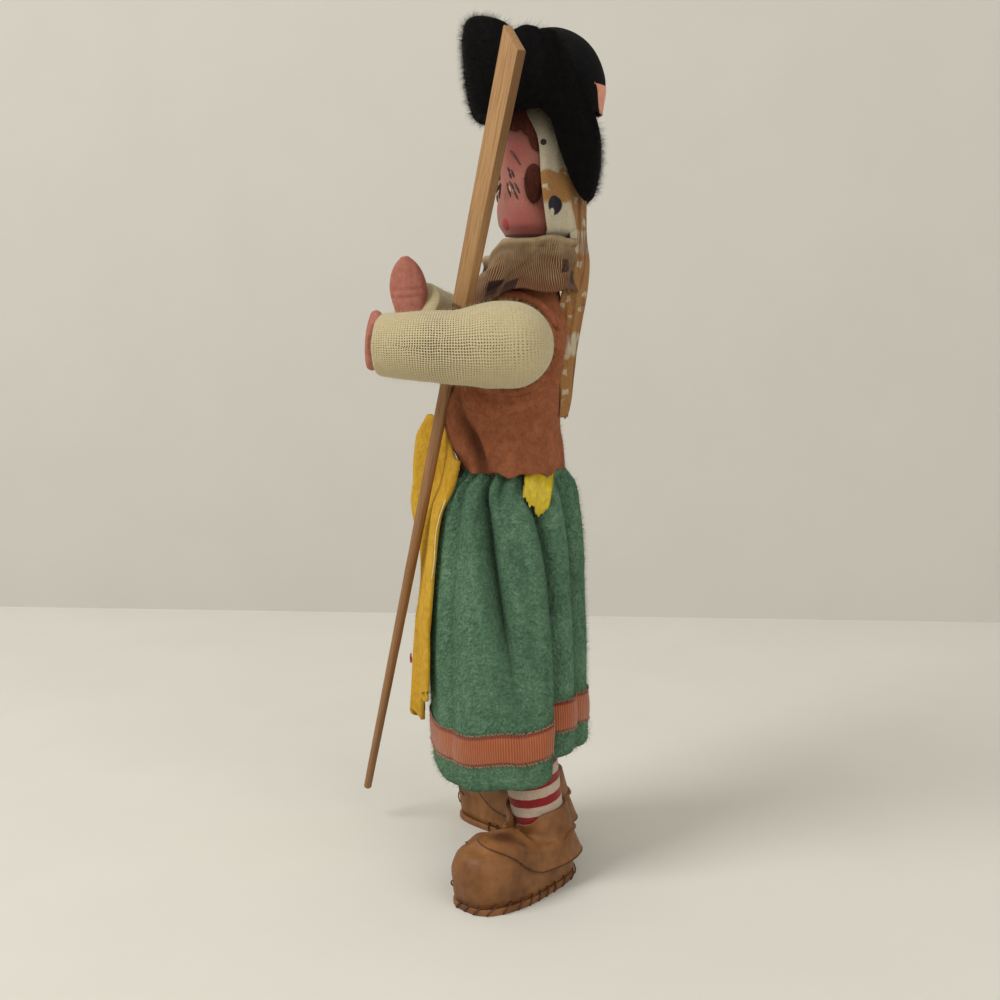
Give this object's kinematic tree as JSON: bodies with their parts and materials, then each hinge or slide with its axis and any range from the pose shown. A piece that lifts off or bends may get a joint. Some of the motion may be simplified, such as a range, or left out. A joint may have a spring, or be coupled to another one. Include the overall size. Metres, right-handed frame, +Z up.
{
  "type": "cloth doll",
  "caption": "Standing cloth costume doll on a wire armature with felt clothes, plush hat, leather shoes and an oar held in one arm; head, arms and legs turn.",
  "frame": {"origin": "on the floor under the middle of the doll's outline box, so the feet stand at z = 0", "axes": "+Z up along the doll, -Y the way the doll faces, +X the doll's left side"},
  "size_m": [0.0722, 0.0667, 0.2188],
  "materials": {
    "stuffing": "matt, cotton waste packed inside plain cloth",
    "wire": "bare soft steel wire",
    "vest_felt": "matt brushed felt, rust brown",
    "kerchief_gauze": "sheer ribbed organza, beige with dark spots",
    "scarf_print": "fine printed cotton, cream with ochre and dark dots",
    "skirt_felt": "matt fuzzy wool felt, green",
    "grosgrain": "ribbed ribbon, orange rust, low sheen",
    "apron_felt": "matt felt, yellow",
    "red_thread": "matt thread, red",
    "satin": "glossy satin ribbon, yellow",
    "pink_felt": "matt pressed felt, pink",
    "hair_felt": "matt dark brown",
    "hat_plush": "long fuzzy plush, black",
    "hat_felt": "smooth felt, black",
    "hat_ribbon": "salmon ribbon",
    "sleeve_gauze": "open plain-weave cotton gauze, cream",
    "loop_thread": "brown thread",
    "oar_wood": "bare planed wood, matt",
    "stocking": "striped cotton, red and cream",
    "shoe_leather": "smooth tan leather, low sheen",
    "shoe_thread": "dark brown waxed thread"
  },
  "bodies": {
    "torso": {"torso_stuffing": "stuffing", "spine_wire": "wire", "shoulder_wire": "wire", "hip_wire": "wire", "vest": "vest_felt", "neckerchief": "kerchief_gauze", "scarf_tail": "scarf_print", "skirt": "skirt_felt", "skirt_ribbon": "grosgrain", "apron": "apron_felt", "apron_dot": "red_thread", "ribbon_end": "satin"},
    "head": {"head_stuffing": "stuffing", "face": "pink_felt", "hair": "hair_felt", "headscarf": "scarf_print", "hat_crown": "hat_felt", "hat_band": "hat_ribbon", "hat_brim": "hat_plush"},
    "left_arm": {"left_arm_stuffing": "stuffing", "left_arm_wire": "wire", "left_sleeve": "sleeve_gauze", "left_hand": "pink_felt", "oar_loop": "loop_thread"},
    "right_arm": {"right_arm_stuffing": "stuffing", "right_arm_wire": "wire", "right_sleeve": "sleeve_gauze", "right_hand": "pink_felt"},
    "oar": {"oar": "oar_wood"},
    "left_leg": {"left_leg_stuffing": "stuffing", "left_leg_wire": "wire", "left_stocking": "stocking", "left_foot_pad": "stuffing", "left_sole": "shoe_leather", "left_shoe_vamp": "shoe_leather", "left_shoe_quarter": "shoe_leather", "left_shoe_stitching": "shoe_thread"},
    "right_leg": {"right_leg_stuffing": "stuffing", "right_leg_wire": "wire", "right_stocking": "stocking", "right_foot_pad": "stuffing", "right_sole": "shoe_leather", "right_shoe_vamp": "shoe_leather", "right_shoe_quarter": "shoe_leather", "right_shoe_stitching": "shoe_thread"}
  },
  "joints": [
    {"name": "head_turn", "type": "hinge", "parent": "torso", "child": "head", "pos_m": [0, 0.01401, 0.1635], "axis": [0, 0, 1], "range_deg": [-15, 15]},
    {"name": "left_shoulder_swing", "type": "hinge", "parent": "torso", "child": "left_arm", "pos_m": [0.0249, 0.00851, 0.1387], "axis": [-1, 0, 0], "range_deg": [0, 12]},
    {"name": "right_shoulder_swing", "type": "hinge", "parent": "torso", "child": "right_arm", "pos_m": [-0.0249, 0.00851, 0.1387], "axis": [-1, 0, 0], "range_deg": [-25, 20]},
    {"name": "oar_lift", "type": "slide", "parent": "left_arm", "child": "oar", "axis": [0.2768, 0.1977, 0.9404], "range_m": [0, 0.12]},
    {"name": "left_hip_swing", "type": "hinge", "parent": "torso", "child": "left_leg", "pos_m": [0.01, 0.00901, 0.062], "axis": [-1, 0, 0], "range_deg": [0, 15]},
    {"name": "right_hip_swing", "type": "hinge", "parent": "torso", "child": "right_leg", "pos_m": [-0.01, 0.00901, 0.062], "axis": [-1, 0, 0], "range_deg": [0, 15]}
  ]
}
